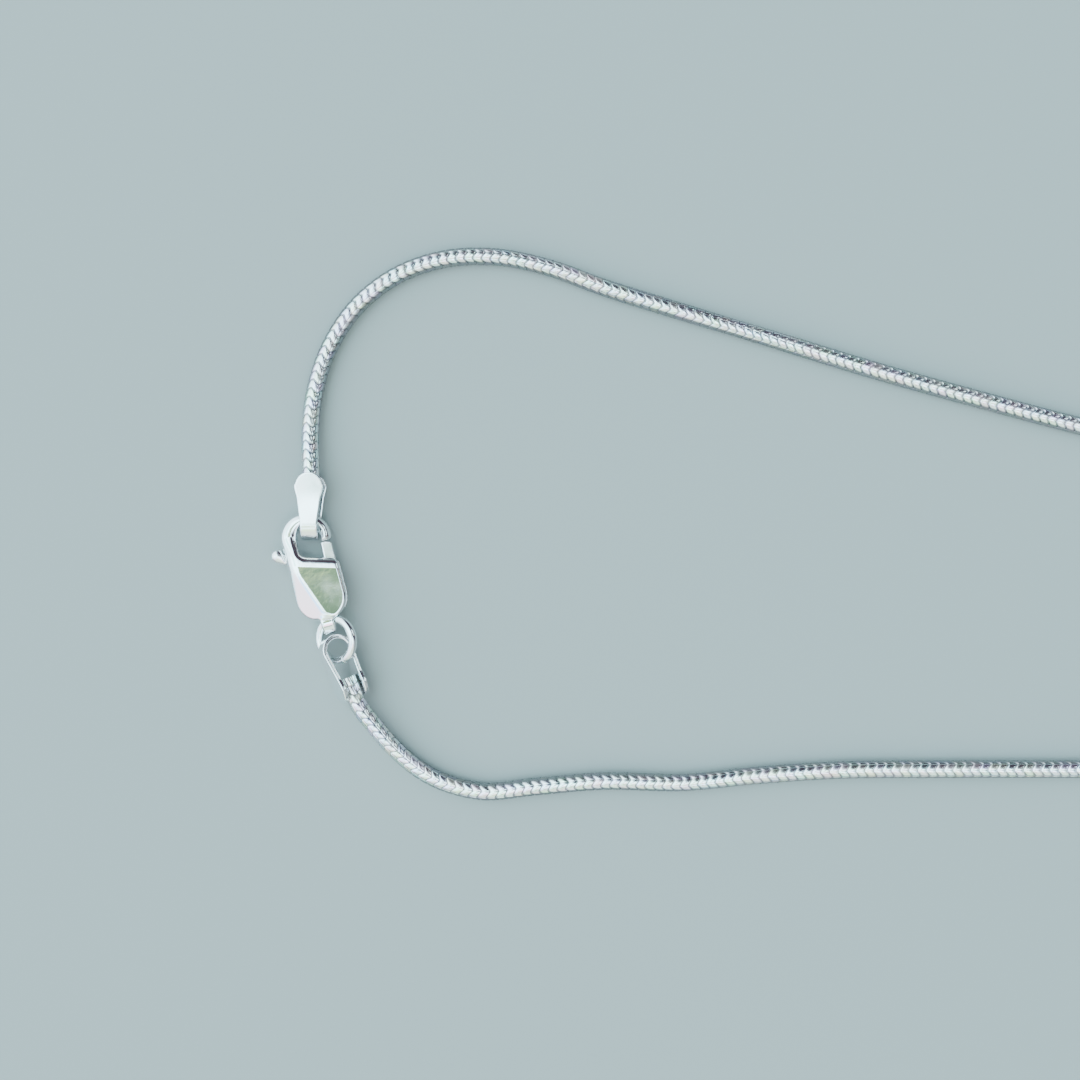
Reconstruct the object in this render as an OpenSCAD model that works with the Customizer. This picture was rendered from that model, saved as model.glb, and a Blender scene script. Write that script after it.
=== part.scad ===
// Snake chain necklace that lies on a flat surface, closed by a lobster clasp.
// Millimetres, Z up. The origin is on the surface, under the middle of the whole necklace.
// X runs along the necklace, from the clasp at the left to the far bend at the right.

/* [Chain] */
// Diameter of the round chain
chain_d = 1.6; // [1.2:0.1:2]
// Sides of the plain tube that stands for the chain
chain_sides = 8; // [8:2:12]
// Longest stretch of chain between two rings of the tube
ring_step = 12; // [10:1:16]
// Most that the chain turns between two rings of the tube, in degrees
ring_turn = 14; // [10:1:20]

/* [End tabs] */
// Thickness of the folded strip
strap_t = 0.4; // [0.3:0.05:0.5]
// Width of the strip where it bends
strap_w = 1.5; // [1.2:0.1:1.6]
// Width of the strip's round ends, over the chain
wing_w = 2.45; // [2.2:0.05:2.8]
// Length of each leg, from the bend's centre to the widest part of its round end
leg_l = 3.5; // [3.2:0.1:4.2]
// Inner radius of the bend
bend_r = 1.05; // [1.05:0.05:1.15]
// Distance from the bend's centre to the end of the chain
chain_seat = 2.6; // [2.4:0.1:3]
// Gap between the chain and the tab's legs
solder_gap = 0.03; // [0.02:0.01:0.05]

/* [Clasp body] */
// Width of the clasp
clasp_w = 4.6; // [4.4:0.1:5]
// Thickness of the clasp at its body
clasp_t = 2.8; // [2.6:0.1:3]
// Thickness of the hook at its tip
hook_t = 1.35; // [1.2:0.05:1.4]
// Width of the hook's band on the gate's side
hook_band = 0.9; // [0.8:0.05:1]
// Radius of the round opening inside the hook
hook_in = 1.08; // [1.06:0.01:1.14]
// Width of the bevel round the opening, on each face
hook_bevel = 0.3; // [0.1:0.05:0.35]
// Distance between the centres of the clasp's two round ends
clasp_run = 5.45; // [5.2:0.05:6.2]
// Wall of the clasp body beside the lever
clasp_wall = 0.6; // [0.5:0.05:0.7]
// Radius of the rounding along the clasp's long edges on the knob's side
shoulder_r = 1.1; // [0.8:0.05:1.2]
// Radius of the rounding along the clasp's long edges on the other side
edge_r = 0.3; // [0.2:0.05:0.6]
// Outer radius of the tail eye
eye_r = 1.15; // [1.1:0.05:1.3]
// Radius of the hole in the tail eye
eye_hole_r = 0.7; // [0.65:0.05:0.75]
// Thickness of the tail eye
eye_t = 1.2; // [1:0.1:1.4]
// Distance from the hook's centre to the eye's centre
eye_y = 7.8; // [7.7:0.05:8.4]

/* [Lever] */
// Thickness of the lever's plate
lever_t = 1.0; // [0.8:0.05:1.1]
// Clearance between the lever and the slot it turns in
lever_gap = 0.05; // [0.04:0.01:0.1]
// Radius of the gate's end about the pin
gate_r = 3.3; // [3.2:0.05:3.35]
// Gap between the gate's end and the hook's tip
gate_gap = 0.1; // [0.05:0.01:0.15]
// Half width of the arm that carries the thumb knob
arm_half = 0.35; // [0.3:0.05:0.4]
// Radius of the thumb knob
knob_r = 0.68; // [0.6:0.02:0.75]
// Radius of the boss round the pin
boss_r = 0.9; // [0.8:0.05:1]
// Angle that the lever opens by, in degrees
lever_open = 20; // [16:1:20]

/* [Pin] */
// Radius of the lever's pin
pin_r = 0.4; // [0.35:0.05:0.45]
// Gap round the pin in the clasp body
pin_seat_gap = 0.02; // [0.01:0.01:0.03]
// Running gap round the pin in the lever
pin_run_gap = 0.05; // [0.03:0.01:0.08]

/* [Jump ring] */
// Diameter of the ring's wire
wire_d = 0.78; // [0.7:0.02:0.8]
// Outer diameter of the ring
ring_d = 4.6; // [4.5:0.05:4.8]
// Width of the cut where the wire's two ends meet
ring_cut = 0.04; // [0.03:0.01:0.08]
// Room round the wire where it passes the clasp's tail
ring_room = 0.08; // [0.06:0.01:0.12]

/* [Lay] */
// Turn of the clasp on the surface, in degrees from lying along Y
clasp_turn = 15; // [14:0.5:16]
// Roll of the clasp about its own length, in degrees
clasp_roll = 4; // [3:0.5:5]
// Height of the clasp's middle above the surface
clasp_z = 1.55; // [1.55:0.01:1.62]
// Tilt of the jump ring, in degrees
ring_tilt = 32; // [31:0.5:33]
// Direction of the line that the jump ring tilts about, in degrees from X
ring_line = 100; // [98:0.5:102]
// Direction in which the ring end tab points, in degrees from X
tab_turn = -68; // [-69:0.5:-67]
// Roll of the ring end tab, in degrees
tab_roll = 27; // [27:0.5:29]

/* [Hidden] */
$fn = 48;
silver = [0.86, 0.88, 0.9];
silver_bright = [0.93, 0.95, 0.97];
silver_dull = [0.72, 0.75, 0.78];

chain_r = chain_d / 2;
bend_out = bend_r + strap_t;
wing_r = wing_w / 2;
cap_r = clasp_w / 2;
hook_mid = [cap_r - hook_band - hook_in, 0];
wire_r = wire_d / 2;
ring_r = ring_d / 2 - wire_r;
slack = 0.01;

// The hook end tab: the centre of its bend, lying on the surface, with its legs along +Y
hook_tab_at = [-99.6, -0.1, bend_out];
// The same centre seen from the clasp, with the hook passing between the tab's legs
tab_in_hook = [0.72, 1.1];
clasp_at = [hook_tab_at[0], hook_tab_at[1], clasp_z] - flat_turn(tab_in_hook, clasp_turn);
eye_at = clasp_at + flat_turn([0, -eye_y], clasp_turn);

// The jump ring passes through the eye at this angle of its own circle, a little off its centre line
eye_angle = 107;
eye_offset = 0.1;
ring_at = eye_at - (ring_r - eye_offset) * ring_spoke(eye_angle);
// The ring end tab hangs on the lowest stretch of the ring: its bend's centre lies this far inside
// the wire's centre line, and this far below the ring's own centre
tab_inset = 0.9;
tab_drop = 0.08;
ring_tab_at = ring_at + [0, tab_inset - ring_r, -tab_drop];
ring_tab_axis = [cos(tab_turn), sin(tab_turn), 0];

// The route of the chain: places on the surface, and the share of the rise to its tab's height
ROUTE = [
    [-99.7, 8.0, 0.65], [-99.4, 11.5, 0.25], [-98.2, 15.6, 0.05], [-95.5, 19.8, 0],
    [-91.9, 22.6, 0], [-87.6, 24.1, 0], [-82.8, 24.3, 0], [-77.9, 23.3, 0],
    [-73.2, 21.6, 0], [-66.5, 19.5, 0], [-57.9, 16.9, 0], [-48.4, 14.0, 0],
    [-38.7, 11.3, 0], [-28.0, 8.5, 0], [-15.0, 5.6, 0], [0.0, 3.7, 0],
    [18.0, 3.0, 0], [50.0, 3.0, 0], [82.0, 3.0, 0], [90.0, 3.0, 0],
    [97.3, 0.6, 0], [101.9, -5.6, 0], [101.9, -13.4, 0], [97.3, -19.6, 0],
    [90.0, -22.0, 0], [82.0, -22.0, 0], [50.0, -22.2, 0], [18.0, -22.4, 0],
    [-6.0, -22.4, 0], [-28.0, -22.4, 0], [-42.0, -22.4, 0], [-52.0, -22.5, 0],
    [-59.4, -23.0, 0], [-65.4, -23.6, 0], [-73.4, -23.5, 0], [-79.3, -24.0, 0],
    [-84.3, -24.4, 0], [-88.6, -23.1, 0.1], [-91.8, -20.7, 0.35], [-93.8, -18.4, 0.7]];
// The first half of the route rises to the hook end tab, the rest to the ring end tab
half_way = len(ROUTE) / 2;

// A point of the flat [x, y], turned about the origin and put at height 0
function flat_turn(p, a) = [p[0] * cos(a) - p[1] * sin(a), p[0] * sin(a) + p[1] * cos(a), 0];
// A unit spoke of the tilted jump ring, at an angle of its own circle
function ring_spoke(a) =
    cos(a) * [sin(ring_line) * cos(ring_tilt), -cos(ring_line) * cos(ring_tilt), sin(ring_tilt)]
    + sin(a) * [cos(ring_line), sin(ring_line), 0];

// The chain runs straight from its seat in each tab to just past the tab's round ends
straight = leg_l + wing_r + 0.1;
hook_tab_axis = [0, 1, 0];
chain_start = hook_tab_at + chain_seat * hook_tab_axis;
chain_end = ring_tab_at + chain_seat * ring_tab_axis;
start_out = hook_tab_at + straight * hook_tab_axis;
end_out = ring_tab_at + straight * ring_tab_axis;
path = concat([chain_start, start_out],
    [for (i = [0:len(ROUTE) - 1]) let (end_z = i < half_way ? start_out[2] : end_out[2])
        [ROUTE[i][0], ROUTE[i][1], chain_r + ROUTE[i][2] * (end_z - chain_r)]],
    [end_out, chain_end]);
last = len(path) - 1;

// The direction at a route point: the slope of the parabola through it and its two neighbours
function heading(i) =
    i < 2 ? hook_tab_axis :
    i > last - 2 ? -ring_tab_axis :
    let (a = path[i] - path[i - 1], b = path[i + 1] - path[i], la = norm(a), lb = norm(b))
    (a * lb / la + b * la / lb) / (la + lb);

// A cubic through two neighbouring route points, and its slope
function route_point(i, t) =
    let (c = norm(path[i + 1] - path[i]), u = 1 - t)
    path[i] * (1 + 2 * t) * u * u + heading(i) * c * t * u * u
    + path[i + 1] * t * t * (3 - 2 * t) - heading(i + 1) * c * t * t * u;
function route_slope(i, t) =
    let (c = norm(path[i + 1] - path[i]), u = 1 - t)
    (path[i + 1] - path[i]) * 6 * t * u / c + heading(i) * u * (1 - 3 * t)
    + heading(i + 1) * t * (3 * t - 2);

// One ring of the tube: corners round the route, square to it
function tube_ring(p, slope) =
    let (along = slope / norm(slope), level = cross([0, 0, 1], along),
         side = level / norm(level), up = cross(along, side))
    [for (k = [0:chain_sides - 1]) let (a = 360 * k / chain_sides)
        p + chain_r * (cos(a) * side + sin(a) * up)];

module snake_chain() {
    rings = concat(
        [for (i = [0:last - 1])
            let (a = heading(i), b = heading(i + 1), turn = acos(min(1, a * b / norm(a) / norm(b))),
                 steps = max(1, round(turn / ring_turn), round(norm(path[i + 1] - path[i]) / ring_step)))
            for (k = [0:steps - 1]) tube_ring(route_point(i, k / steps), route_slope(i, k / steps))],
        [tube_ring(path[last], heading(last))]);
    n = len(rings);
    corners = [for (r = rings) for (c = r) c];
    sides = [for (r = [0:n - 2]) for (k = [0:chain_sides - 1])
        let (a = r * chain_sides, next = (k + 1) % chain_sides)
        [a + k, a + chain_sides + k, a + chain_sides + next, a + next]];
    caps = [[for (k = [0:chain_sides - 1]) k],
            [for (k = [chain_sides - 1:-1:0]) (n - 1) * chain_sides + k]];
    color(silver) polyhedron(corners, concat(sides, caps));
}

// A strip folded round a loop: its bend is at the origin and its legs run along +X to the chain
module folded_tab() {
    tip = leg_l + wing_r;
    leg_in = chain_r + solder_gap;
    intersection() {
        translate([0, 0, -wing_r - slack]) linear_extrude(wing_w + 2 * slack) difference() {
            loop_area(bend_out, leg_in + strap_t, tip);
            loop_area(bend_r, leg_in, tip + strap_t);
        }
        rotate([90, 0, 0]) translate([0, 0, -bend_out - slack]) linear_extrude(2 * (bend_out + slack))
            strap_face();
    }
}

// The area inside a loop: a round end, then sides that draw in to the chain and run straight on
module loop_area(round_r, half, tip) {
    circle(r = round_r);
    polygon([[0, -round_r], [chain_seat, -half], [tip, -half], [tip, half], [chain_seat, half],
             [0, round_r]]);
}

// The strip's face laid flat: narrow at the bend, wide and round over the chain
module strap_face() {
    translate([-bend_out - slack, -strap_w / 2]) square([bend_out + 2 * slack, strap_w]);
    polygon([[0, -strap_w / 2], [leg_l, -wing_r], [leg_l, wing_r], [0, strap_w / 2]]);
    translate([leg_l, 0]) circle(r = wing_r);
}

module hook_end_tab() {
    color(silver_bright) translate(hook_tab_at) rotate([90, 0, 90]) folded_tab();
}

module ring_end_tab() {
    color(silver_bright) translate(ring_tab_at) rotate([-tab_roll, 0, tab_turn]) folded_tab();
}

// The clasp's own frame: the hook's centre at the origin, the hook's top along +Y and the knob at -X
module place_clasp() {
    translate(clasp_at) rotate([0, clasp_roll, clasp_turn]) children();
}

// Places on the clasp, in its own frame
pin_at = [1.1, -4.0];
sill_left = [-0.85, -1.5];
sill_slope = -0.3;
gate_in = 1.25;
gate_out = 2.15;
gate_room = 0.1;
knob_at = [-2.85, -0.935];
knob_trim = cap_r + 0.06;
// The knob's neck: its radius at its thin end, and its length
neck_r = 0.58;
neck_l = 0.8;

// The room for the lever: its lower end, its roof over the gate, and the clearances round the arm
slot_end = -6.95;
slot_roof = 0.2;
arm_root = 0.28;
arm_room = 0.13;
arm_room_open = 0.15;

// The clasp's sides thin from the tail's full height to the hook: lengths along the clasp
tail_nose = 0.25;
tail_round = 0.7;
sill_back = 1.6;
hook_taper_y = 0.4;
hook_taper_t = 0.18;
section_over = 0.1;

// The flank of each face falls away on the knob's side of a slanting line: its ends and its slope
flank_top = [-1.7, -2.44];
flank_end = [0.1, -7.54];
flank_slope = 28;

// The tail's hole: how far its mouths flare, and half the length of the plain bore between them
eye_flare = 0.25;
eye_core = 0.15;

function sill_y(x) = sill_left[1] + sill_slope * (x - sill_left[0]);
arm_slope = (knob_at[1] - pin_at[1]) / (knob_at[0] - pin_at[0]);
arm_angle = atan(arm_slope);
function arm_y(x) = pin_at[1] + arm_slope * (x - pin_at[0]);

module clasp_outline() {
    circle(r = cap_r);
    translate([0, -clasp_run]) circle(r = cap_r);
    translate([-cap_r, -clasp_run]) square([clasp_w, clasp_run]);
}

// The way in: the hook's round, the sill below it and the place of the gate
module hook_opening() {
    wide = clasp_w;
    translate(hook_mid) circle(r = hook_in);
    intersection() {
        polygon([[hook_mid[0] - hook_in, 0], sill_left, [wide, sill_y(wide)], [wide, 0]]);
        union() {
            translate([-wide, -wide]) square([wide + gate_in - gate_room, wide]);
            translate(pin_at) circle(r = gate_r + gate_gap);
        }
    }
}

// The flat room that the lever turns in, open along the clasp's right side and for the knob's arm
module lever_room() {
    wide = clasp_w;
    side = cap_r - clasp_wall;
    lift = arm_half / cos(arm_angle) + arm_room;
    roof = sill_y(arm_root) + slot_roof;
    open_slope = tan(arm_angle + lever_open);
    open_drop = arm_half / cos(arm_angle + lever_open) + arm_room_open;
    polygon([[-wide, arm_y(-wide) + lift], [arm_root, arm_y(arm_root) + lift],
             [arm_root, roof], [wide, roof], [wide, slot_end],
             [0.1 * side, slot_end], [-0.8 * side, -clasp_run - 0.6 * side], [-side, -clasp_run],
             [-side, pin_at[1] + open_slope * (-side - pin_at[0]) - open_drop],
             [-wide, pin_at[1] + open_slope * (-wide - pin_at[0]) - open_drop]]);
}

// Half of the clasp's thickness along its length
module clasp_side() {
    half = clasp_t / 2;
    tail = -clasp_run - cap_r - slack;
    for (s = [-1, 1])
        polygon([[tail, 0], [tail, s * 0.6 * half], [tail + tail_nose, s * 0.85 * half],
                 [tail + tail_round, s * half], [sill_left[1] - sill_back, s * half],
                 [hook_taper_y, s * (hook_t + hook_taper_t) / 2], [cap_r + slack, s * hook_t / 2],
                 [cap_r + slack, 0]]);
}

// The clasp's section across its length: flat faces, full shoulders at -X and small ones at +X
module clasp_section() {
    half_w = cap_r + section_over;
    translate([-half_w + shoulder_r, -clasp_t / 2]) square([2 * half_w - shoulder_r - edge_r, clasp_t]);
    for (side = [[-1, shoulder_r], [1, edge_r]]) {
        r = side[1];
        x = side[0] * (half_w - r);
        high = clasp_t / 2 - r;
        translate([x, 0]) square([2 * r, 2 * high], center = true);
        for (y = [-high, high]) translate([x, y]) circle(r = r);
    }
}

module tail_eye() {
    translate([0, -eye_y, 0]) rotate([0, 90, 0]) cylinder(r = eye_r, h = eye_t, center = true);
}

module tail_hole() {
    depth = eye_t / 2 - eye_core + slack;
    translate([0, -eye_y, 0]) rotate([0, 90, 0]) {
        cylinder(r = eye_hole_r, h = clasp_w, center = true);
        for (s = [0, 180]) rotate([s, 0, 0])
            translate([0, 0, eye_core])
                cylinder(r1 = eye_hole_r, r2 = eye_hole_r + eye_flare, h = depth);
    }
}

module clasp_body() {
    color(silver) difference() {
        clasp_casting();
        place_ring() ring_wire(wire_r + ring_room);
    }
}

// The casting's long round form, with a flat flank on each face
module clasp_form() {
    difference() {
        intersection() {
            translate([0, 0, -clasp_t / 2]) linear_extrude(clasp_t) clasp_outline();
            rotate([90, 0, 0]) linear_extrude(3 * clasp_run, center = true) clasp_section();
            rotate([90, 0, 90]) linear_extrude(2 * clasp_w, center = true) clasp_side();
        }
        flank_cut();
        mirror([0, 0, 1]) flank_cut();
    }
}

// The space outside one flank
module flank_cut() {
    line = flank_end - flank_top;
    translate([flank_top[0], flank_top[1], clasp_t / 2]) rotate([0, 0, atan2(line[1], line[0])])
        rotate([flank_slope, 0, 0]) translate([-clasp_w, -2 * clasp_w, 0])
            cube([4 * clasp_w, 2 * clasp_w, clasp_w]);
}

// The bevel round the hook's opening, on one face
module opening_bevel() {
    bevel_h = 2 * hook_bevel;
    translate([hook_mid[0], 0, hook_t / 2 - hook_bevel])
        cylinder(r1 = hook_in, r2 = hook_in + bevel_h, h = bevel_h);
}

module clasp_casting() {
    place_clasp() difference() {
        union() {
            clasp_form();
            tail_eye();
        }
        linear_extrude(2 * clasp_t, center = true) hook_opening();
        opening_bevel();
        mirror([0, 0, 1]) opening_bevel();
        linear_extrude(lever_t + 2 * lever_gap, center = true) lever_room();
        translate(pin_at) cylinder(r = pin_r + pin_seat_gap, h = 2 * clasp_t, center = true);
        tail_hole();
    }
}

// The lever's flat outline: the gate up to the hook's tip, the boss and the knob's arm
module lever_outline() {
    intersection() {
        polygon([[gate_in, 0], [gate_out, 0], [gate_out, pin_at[1]], [pin_at[0], pin_at[1] - boss_r],
                 [pin_at[0] - boss_r, pin_at[1]], [gate_in - gate_room, sill_y(gate_in)]]);
        translate(pin_at) circle(r = gate_r);
    }
    translate(pin_at) circle(r = boss_r);
    translate(pin_at) rotate(arm_angle)
        translate([-norm(knob_at - pin_at), -arm_half]) square([norm(knob_at - pin_at), 2 * arm_half]);
}

// A ball with a full neck towards the pin
module thumb_knob() {
    translate(knob_at) sphere(r = knob_r);
    translate(knob_at) rotate([0, 90, arm_angle]) cylinder(r1 = knob_r, r2 = neck_r, h = neck_l);
}

module clasp_lever() {
    color(silver_dull) place_clasp() difference() {
        union() {
            linear_extrude(lever_t, center = true) lever_outline();
            intersection() {
                thumb_knob();
                translate([-2 * clasp_w - knob_trim, -clasp_w, -clasp_w])
                    cube([2 * clasp_w, 2 * clasp_w, 2 * clasp_w]);
            }
        }
        translate(pin_at) cylinder(r = pin_r + pin_run_gap, h = 2 * clasp_t, center = true);
    }
}

module clasp_pin() {
    color(silver) place_clasp() translate(pin_at) cylinder(r = pin_r, h = clasp_t - 2 * slack, center = true);
}

// The jump ring's own frame: its circle lies flat round the origin
module place_ring() {
    translate(ring_at) rotate([-ring_tilt, 0, ring_line]) children();
}

module ring_wire(r) {
    rotate_extrude() translate([ring_r, 0]) circle(r = r);
}

module jump_ring() {
    cut_angle = 200;
    color(silver_bright) place_ring() difference() {
        ring_wire(wire_r);
        rotate(cut_angle) translate([0, -ring_cut / 2, -wire_d]) cube([ring_d, ring_cut, 2 * wire_d]);
    }
}

snake_chain();
hook_end_tab();
ring_end_tab();
clasp_body();
clasp_lever();
clasp_pin();
jump_ring();
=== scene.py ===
import math

import bpy
import numpy as np
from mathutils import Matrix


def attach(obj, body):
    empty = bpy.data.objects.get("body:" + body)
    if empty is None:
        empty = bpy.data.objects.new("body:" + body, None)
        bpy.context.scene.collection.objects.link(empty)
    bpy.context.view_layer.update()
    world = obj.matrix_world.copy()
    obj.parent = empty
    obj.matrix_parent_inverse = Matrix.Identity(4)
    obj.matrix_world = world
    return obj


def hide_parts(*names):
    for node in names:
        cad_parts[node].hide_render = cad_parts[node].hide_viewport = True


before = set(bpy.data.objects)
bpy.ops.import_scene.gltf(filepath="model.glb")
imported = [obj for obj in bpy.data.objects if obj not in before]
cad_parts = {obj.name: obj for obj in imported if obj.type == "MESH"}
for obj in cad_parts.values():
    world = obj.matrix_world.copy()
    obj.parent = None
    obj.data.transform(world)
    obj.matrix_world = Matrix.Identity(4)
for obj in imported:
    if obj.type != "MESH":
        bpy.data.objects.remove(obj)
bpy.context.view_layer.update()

bl_info = {
    "name": "Snake Chain Necklace",
    "version": (1, 0, 0),
    "blender": (4, 5, 0),
    "location": "3D View > Sidebar > Necklace",
    "description": "Builds a silver snake chain necklace with its lobster clasp, end tabs and jump ring",
    "category": "Object",
}

MM = 0.001
BODY = "necklace"
LEVER_BODY = "lever"

# The lay of the pieces on the surface: lengths in metres, angles in degrees

# The centre of the hook end tab's bend, and its place across and along the clasp from the hook's centre
HOOK_TAB_AT = np.array([-99.6, -0.1, 1.45]) * MM
TAB_IN_HOOK = np.array([0.72, 1.1]) * MM
# The clasp's turn on the surface, its roll about its own length and the height of its hook's centre
CLASP_TURN = 15
CLASP_ROLL = 4
CLASP_LIFT = 1.55 * MM
# The jump ring's tilt, and the direction of the level line that it tilts about
RING_TILT = 32
RING_LINE = 100
# Where round the ring its wire passes through the tail eye, and how far past the eye's centre
EYE_ANGLE = 107
EYE_OFFSET = 0.1 * MM
# The ring end tab's turn and roll, and how far its bend's centre lies inside the ring's centre line and
# below the ring's centre
TAB_TURN = -68
TAB_ROLL = 27
TAB_INSET = 0.9 * MM
TAB_DROP = 0.08 * MM

# The chain's route on the surface in metres, and the share of the rise to its tab's height
ROUTE = np.array([
    (-0.0997, 0.0080, 0.65), (-0.0994, 0.0115, 0.25), (-0.0982, 0.0156, 0.05), (-0.0955, 0.0198, 0),
    (-0.0919, 0.0226, 0), (-0.0876, 0.0241, 0), (-0.0828, 0.0243, 0), (-0.0779, 0.0233, 0),
    (-0.0732, 0.0216, 0), (-0.0665, 0.0195, 0), (-0.0579, 0.0169, 0), (-0.0484, 0.0140, 0),
    (-0.0387, 0.0113, 0), (-0.0280, 0.0085, 0), (-0.0150, 0.0056, 0), (0.0, 0.0037, 0),
    (0.0180, 0.0030, 0), (0.0500, 0.0030, 0), (0.0820, 0.0030, 0), (0.0900, 0.0030, 0),
    (0.0973, 0.0006, 0), (0.1019, -0.0056, 0), (0.1019, -0.0134, 0), (0.0973, -0.0196, 0),
    (0.0900, -0.0220, 0), (0.0820, -0.0220, 0), (0.0500, -0.0222, 0), (0.0180, -0.0224, 0),
    (-0.0060, -0.0224, 0), (-0.0280, -0.0224, 0), (-0.0420, -0.0224, 0), (-0.0520, -0.0225, 0),
    (-0.0594, -0.0230, 0), (-0.0654, -0.0236, 0), (-0.0734, -0.0235, 0), (-0.0793, -0.0240, 0),
    (-0.0843, -0.0244, 0), (-0.0886, -0.0231, 0.1), (-0.0918, -0.0207, 0.35), (-0.0938, -0.0184, 0.7)])

# How the rows of links wind round the chain: length from the hook end tab in metres, turn in degrees
WINDING = np.array([
    (0.000, -2), (0.008, 0), (0.014, 3), (0.020, -1), (0.025, -3), (0.029, -4), (0.034, 6), (0.041, 18),
    (0.047, 32), (0.053, 50), (0.059, 64), (0.065, 78), (0.080, 84), (0.220, 60), (0.360, 26), (0.392, 22),
    (0.399, 20), (0.405, 2), (0.415, -2), (0.424, -18), (0.433, -2)])


def length(value, name, description):
    """A size of the necklace, given in millimetres and kept in metres."""
    return bpy.props.FloatProperty(
        name=name, description=description, default=value * MM, min=0.0, precision=5, unit="LENGTH")


def colour(value, name, description):
    """A finish or floor colour, in scene linear light."""
    return bpy.props.FloatVectorProperty(
        name=name, description=description, default=value, size=3, min=0.0, max=1.0, subtype="COLOR")


def share(value, name, description, top=1.0):
    """A plain number from 0 to top."""
    return bpy.props.FloatProperty(name=name, description=description, default=value, min=0.0, max=top)


class ChainSizes(bpy.types.PropertyGroup):
    """Sizes of the snake chain and its links."""

    width: length(1.6, "Width", "Diameter of the round chain")
    pitch: length(0.8, "Link pitch", "Distance from one link to the next")
    zigzag: length(0.30, "Zigzag", "How far a link's edge runs along the chain across one row of tiles")
    groove: length(0.085, "Groove depth", "Depth of the groove between two links")
    seam: share(0.27, "Row seam", "Share of the chain's round that the folds between the rows take up")
    uneven: length(0.012, "Unevenness", "How far the tiles' corners lie in and out by chance")
    plain_end: length(0.5, "Plain end", "Length of chain that solder has filled at each end")


class TabSizes(bpy.types.PropertyGroup):
    """Sizes of the two folded end tabs."""

    thick: length(0.4, "Thickness", "Thickness of the folded strip")
    neck: length(1.5, "Neck width", "Width of the strip where it bends")
    wing: length(2.45, "Wing width", "Width of the strip's round ends, over the chain")
    leg: length(3.5, "Leg length", "Length of each leg, from the bend's centre to its round end's middle")
    bend: length(1.05, "Bend radius", "Inner radius of the bend")
    seat: length(2.6, "Chain seat", "Distance from the bend's centre to the end of the chain")
    gap: length(0.03, "Solder gap", "Gap between the chain and the tab's legs")
    edge: length(0.1, "Edge radius", "Rounding of the strip's edges")


class ClaspSizes(bpy.types.PropertyGroup):
    """Sizes of the lobster clasp and its lever."""

    width: length(4.6, "Width", "Width of the clasp")
    thick: length(2.8, "Thickness", "Thickness of the clasp at its body")
    hook: length(1.35, "Hook thickness", "Thickness of the hook at its tip")
    band: length(0.9, "Hook band", "Width of the hook's band on the gate's side")
    opening: length(1.08, "Opening radius", "Radius of the round opening inside the hook")
    run: length(5.45, "Run", "Distance between the centres of the clasp's two round ends")
    wall: length(0.6, "Wall", "Wall of the clasp body beside the lever")
    shoulder: length(1.1, "Shoulder radius", "Rounding of the long edges on the knob's side")
    edge: length(0.28, "Edge radius", "Rounding of the long edges on the other side")
    rim: length(0.62, "Rim radius", "Rounding of the hook's inner edges")
    sill_rim: length(0.55, "Sill radius", "Rounding of the opening's lower edge")
    eye: length(1.15, "Eye radius", "Outer radius of the tail eye")
    eye_hole: length(0.7, "Eye hole radius", "Radius of the hole in the tail eye")
    eye_thick: length(1.2, "Eye thickness", "Thickness of the tail eye")
    eye_far: length(7.8, "Eye distance", "Distance from the hook's centre to the eye's centre")
    lever: length(1.0, "Lever thickness", "Thickness of the lever's plate")
    lever_gap: length(0.05, "Lever clearance", "Clearance between the lever and its slot")
    gate: length(3.3, "Gate radius", "Radius of the gate's end about the pin")
    arm: length(0.35, "Arm half width", "Half width of the arm that carries the thumb knob")
    knob: length(0.68, "Knob radius", "Radius of the thumb knob")
    boss: length(0.9, "Boss radius", "Radius of the boss round the pin")
    pin: length(0.4, "Pin radius", "Radius of the lever's pin")


class RingSizes(bpy.types.PropertyGroup):
    """Sizes of the jump ring."""

    wire: length(0.78, "Wire", "Diameter of the ring's wire")
    outer: length(4.6, "Outer diameter", "Diameter of the ring across its outside")
    cut: length(0.04, "Cut", "Width of the cut where the wire's two ends meet")


class SilverFinish(bpy.types.PropertyGroup):
    """Colours and polish of the silver."""

    bright: colour((0.90, 0.945, 0.96), "Bright silver", "Colour of the polished silver")
    warm: colour((0.95, 0.91, 0.93), "Warm silver", "Colour of the silver where it is a little worn")
    # Tarnish in grooves and hollows, and also the colour of the painted shade low on the chain's sides
    tarnish_and_side_shade: colour((0.22, 0.20, 0.21), "Tarnish", "Colour of the silver deep in its grooves")
    polish: share(0.12, "Roughness", "Roughness of the best polished faces")


class StageLook(bpy.types.PropertyGroup):
    """The floor, the soft light and the camera."""

    floor: colour((0.27, 0.305, 0.30), "Floor", "Colour of the plain floor")
    light: share(1.0, "Light", "Strength of the soft light all round", top=10.0)
    camera_high: length(130, "Camera height", "Height of the camera above the necklace")
    view_wide: length(98.18, "View width", "Width of the surface that the camera sees")


# Geometry helpers: the metal is where a field is negative


def spin(axis, degrees):
    """The matrix that turns a point about the X, Y or Z axis (0, 1, 2)."""
    c, s = math.cos(math.radians(degrees)), math.sin(math.radians(degrees))
    a, b = (axis + 1) % 3, (axis + 2) % 3
    m = np.eye(3)
    m[a, a], m[a, b], m[b, a], m[b, b] = c, -s, s, c
    return m


def round_meet(a, b, r):
    """The part of both metals: the greater distance, with a round of radius r where the two faces meet."""
    return np.minimum(np.maximum(a, b), -r) + np.hypot(np.maximum(a + r, 0), np.maximum(b + r, 0))


def round_cut(a, b, r):
    """The first metal without the second, its new edge rounded with radius r."""
    return round_meet(a, -b, r)


def round_join(a, b, r):
    """Both metals together, with a fillet of radius r where they meet."""
    return -round_meet(-a, -b, r)


def disc(x, y, at, r):
    """Distance to a circle's edge: distance to its centre, less its radius."""
    return np.hypot(x - at[0], y - at[1]) - r


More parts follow.
